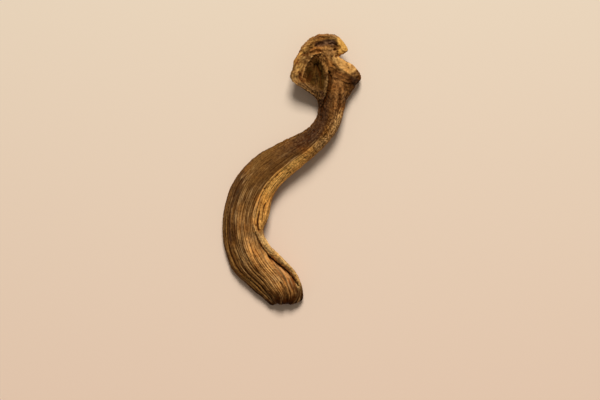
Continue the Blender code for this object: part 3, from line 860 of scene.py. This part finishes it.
# What the relief does to a tone: its map, where that starts and where it is full, the most it
# does, and a tone to mix in or a gain on red, green and blue.
reliefTones = [
    # painted shade in the broad and the fine hollows
    ("hollowShading", 0.05, 0.9, 0.6, "#3E1C03"),
    ("fineHollowShading", 0.1, 1.0, 0.6, "#482004"),
    # painted shade in the cut-in lines and pits
    ("groove", 0.0, 1.0, 0.4, "#3C1C03"),
    ("threads", 0.0, 1.0, 0.5, "#BE945E"),
    # painted highlight on the ridges and edges, where the hollow maps fall below 0
    ("hollowShading", -0.1, -0.8, 0.45, (1.48, 1.5, 1.5)),
    ("fineHollowShading", -0.1, -1.0, 0.8, (1.48, 1.5, 1.5)),
]

fleshLook = {
    "patches": (0.32, 0.68),
    "patchShare": (0.6, 0.35),  # mostly, and where the flesh is even
    "shares": {"threads": 0.7, "specks": 1.3, "hairs": 0.8},
    "tone": (1.6, 2.55),  # the level that is all deep tone, and the one that is all pale
    "ruddy": ((0.52, 0.68), (1.05, 0.92, 0.78)),  # where the drift is high, and the gain there
    "grey": ((0.48, 0.32), (0.94, 1.0, 1.2)),
    "roughness": (0.45, 0.85),
    "specksInBump": 0.6,
    "bumpStrength": 0.6,
    "bumpDepth": 0.1,
    "specular": 0.09,
    "specularTint": "#D49C70",
}


def driedPorciniFlesh():
    # air-dried porcini flesh, leathery and matt: the cut dries tan with dark brown furrows, with painted
    # shade in its hollows, grooves and pits and painted highlight on its ridges; torn fibres catch the
    # light, and the pores keep its gloss weak at the usual IOR of 1.5
    material = bpy.data.materials.new("driedPorciniFlesh")
    material.use_nodes = True
    tree = material.node_tree
    shader = tree.nodes["Principled BSDF"]
    base, *parts = fleshTones
    others = ["streak", "even", "warm", "hollowShading", "fineHollowShading", "groove", "threads"]
    maps = {}
    for name in parts + others:
        maps[name] = addNode(tree, "Attribute", {"attribute_name": name}).outputs["Fac"]
    fibreLines = addNode(tree, "Attribute", {"attribute_name": "fibreLines"}).outputs["Vector"]
    place = addNode(tree, "TexCoord").outputs["Object"]

    patterns = {}
    for name, (size, detail, roughness) in fleshPatterns.items():
        if isinstance(size, tuple):
            stretch = {"Vector": fibreLines, "Scale": (1 / size[0], 1 / size[1], 1)}
            spots, scale = addNode(tree, "Mapping", {}, stretch).outputs[0], 1.0
        else:
            spots, scale = place, 1 / (size * mm)
        pattern = {"Vector": spots, "Scale": scale, "Detail": detail, "Roughness": roughness}
        patterns[name] = addNode(tree, "TexNoise", {}, pattern).outputs["Fac"]

    # each goes in with the values that it runs from and to, and comes out from 0 to 1 or as given
    look = fleshLook
    ranges = {
        "patches": (patterns["mottle"], *look["patches"]),
        "patchShare": (maps["even"], 0, 1, *look["patchShare"]),
        "ruddy": (patterns["drift"], *look["ruddy"][0]),
        "grey": (patterns["drift"], *look["grey"][0]),
        "roughness": (patterns["mottle"], 0, 1, *look["roughness"]),
    }
    for name, ends in ranges.items():
        ranges[name] = addNode(tree, "MapRange", {}, dict(enumerate(ends))).outputs[0]

    # from deep to pale: the relief's streaks, with threads, patches, specks and hairs over them
    level = maps["streak"]
    for pattern, share in (
        (patterns["threads"], look["shares"]["threads"]),
        (ranges["patches"], ranges["patchShare"]),
        (patterns["specks"], look["shares"]["specks"]),
        (patterns["hairs"], look["shares"]["hairs"]),
    ):
        added = {0: pattern, 1: share, 2: level}
        level = addNode(tree, "Math", {"operation": "MULTIPLY_ADD"}, added).outputs[0]
    tone = addNode(tree, "MapRange", {}, dict(enumerate((level, *look["tone"])))).outputs[0]

    own = {}
    for name, (deep, pale) in fleshTones.items():
        ends = {0: tone, 6: hexColour(deep), 7: hexColour(pale)}
        own[name] = addNode(tree, "Mix", {"data_type": "RGBA"}, ends).outputs[2]
    greying = {0: ranges["grey"], 1: maps["warm"]}
    grey = addNode(tree, "Math", {"operation": "SUBTRACT", "use_clamp": True}, greying).outputs[0]
    layers = [(maps[name], "MIX", own[name]) for name in parts]
    layers.append((ranges["ruddy"], "MULTIPLY", (*look["ruddy"][1], 1.0)))
    layers.append((grey, "MULTIPLY", (*look["grey"][1], 1.0)))
    for name, start, full, most, over in reliefTones:
        ends = dict(enumerate((maps[name], start, full, 0, most)))
        shown = addNode(tree, "MapRange", {}, ends).outputs[0]
        blended = ("MIX", hexColour(over)) if isinstance(over, str) else ("MULTIPLY", (*over, 1.0))
        layers.append((shown, *blended))
    colour = own[base]
    for factor, blend, over in layers:
        settings = {"data_type": "RGBA", "blend_type": blend}
        colour = addNode(tree, "Mix", settings, {0: factor, 6: colour, 7: over}).outputs[2]

    finest = {0: patterns["specks"], 1: look["specksInBump"], 2: patterns["hairs"]}
    height = addNode(tree, "Math", {"operation": "MULTIPLY_ADD"}, finest).outputs[0]
    dent = {"Height": height, "Strength": look["bumpStrength"], "Distance": look["bumpDepth"] * mm}
    tree.links.new(colour, shader.inputs["Base Color"])
    tree.links.new(ranges["roughness"], shader.inputs["Roughness"])
    tree.links.new(addNode(tree, "Bump", {}, dent).outputs[0], shader.inputs["Normal"])
    shader.inputs["Specular IOR Level"].default_value = look["specular"]
    shader.inputs["Specular Tint"].default_value = hexColour(look["specularTint"])
    return material


# The table under the slice, and the camera and lights over it.
studio = {
    "tableSize": 900,
    "tableTones": ("#F0D2B8", "#E5D1B8"),
    "tableFade": (-70.0, 50.0),
    "tableRoughness": 0.8,
    "photoWidth": 180.0,
    "aim": (2.4, -9.0),
    "cameraHeight": 500.0,
    "sensor": 36.0,
    "nearest": 10.0,
    "key": {"place": (60.0, 700.0, 760.0), "size": 380.0, "watts": 11.5},
    "fill": 0.2,
    "fillTone": "#FFF8EE",
}


def setTable():
    shape = bmesh.new()
    bmesh.ops.create_grid(shape, x_segments=1, y_segments=1, size=studio["tableSize"] / 2 * mm)
    mesh = bpy.data.meshes.new("paleTable")
    shape.to_mesh(mesh)
    shape.free()
    table = bpy.data.objects.new("paleTable", mesh)
    bpy.context.scene.collection.objects.link(table)
    material = bpy.data.materials.new("paleMattLaminate")
    material.use_nodes = True
    tree = material.node_tree
    shader = tree.nodes["Principled BSDF"]
    # a pale matt board, a little rosier towards the viewer than at the back
    place = addNode(tree, "SeparateXYZ", {}, {0: addNode(tree, "TexCoord").outputs["Object"]})
    start, end = (y * mm for y in studio["tableFade"])
    back = addNode(tree, "MapRange", {}, {"Value": place.outputs["Y"], "From Min": start, "From Max": end})
    near, far = (hexColour(tone) for tone in studio["tableTones"])
    mixed = addNode(tree, "Mix", {"data_type": "RGBA"}, {0: back.outputs[0], 6: near, 7: far})
    tree.links.new(mixed.outputs[2], shader.inputs["Base Color"])
    shader.inputs["Roughness"].default_value = studio["tableRoughness"]
    mesh.materials.append(material)


def setCameraAndLights():
    scene = bpy.context.scene
    camera = bpy.data.objects.new("overheadCamera", bpy.data.cameras.new("overheadCamera"))
    camera.data.sensor_width = studio["sensor"]
    camera.data.lens = studio["sensor"] * studio["cameraHeight"] / studio["photoWidth"]
    camera.data.clip_start = studio["nearest"] * mm
    camera.location = Vector((*studio["aim"], studio["cameraHeight"])) * mm
    scene.collection.objects.link(camera)
    scene.camera = camera
    key = bpy.data.objects.new("northWindow", bpy.data.lights.new("northWindow", "AREA"))
    key.data.energy = studio["key"]["watts"]
    key.data.size = studio["key"]["size"] * mm
    key.location = Vector(studio["key"]["place"]) * mm
    key.rotation_euler = (-key.location).to_track_quat("-Z", "Y").to_euler()
    scene.collection.objects.link(key)
    scene.world = bpy.data.worlds.new("softRoom")
    scene.world.use_nodes = True
    background = scene.world.node_tree.nodes["Background"]
    background.inputs["Color"].default_value = hexColour(studio["fillTone"])
    background.inputs["Strength"].default_value = studio["fill"]
    scene.view_settings.view_transform = "Standard"


slicePiece = growSlice()
slicePiece.data.materials.append(driedPorciniFlesh())
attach(slicePiece, "root")
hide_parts("porcini_slice")
setTable()
setCameraAndLights()
print("studio set")
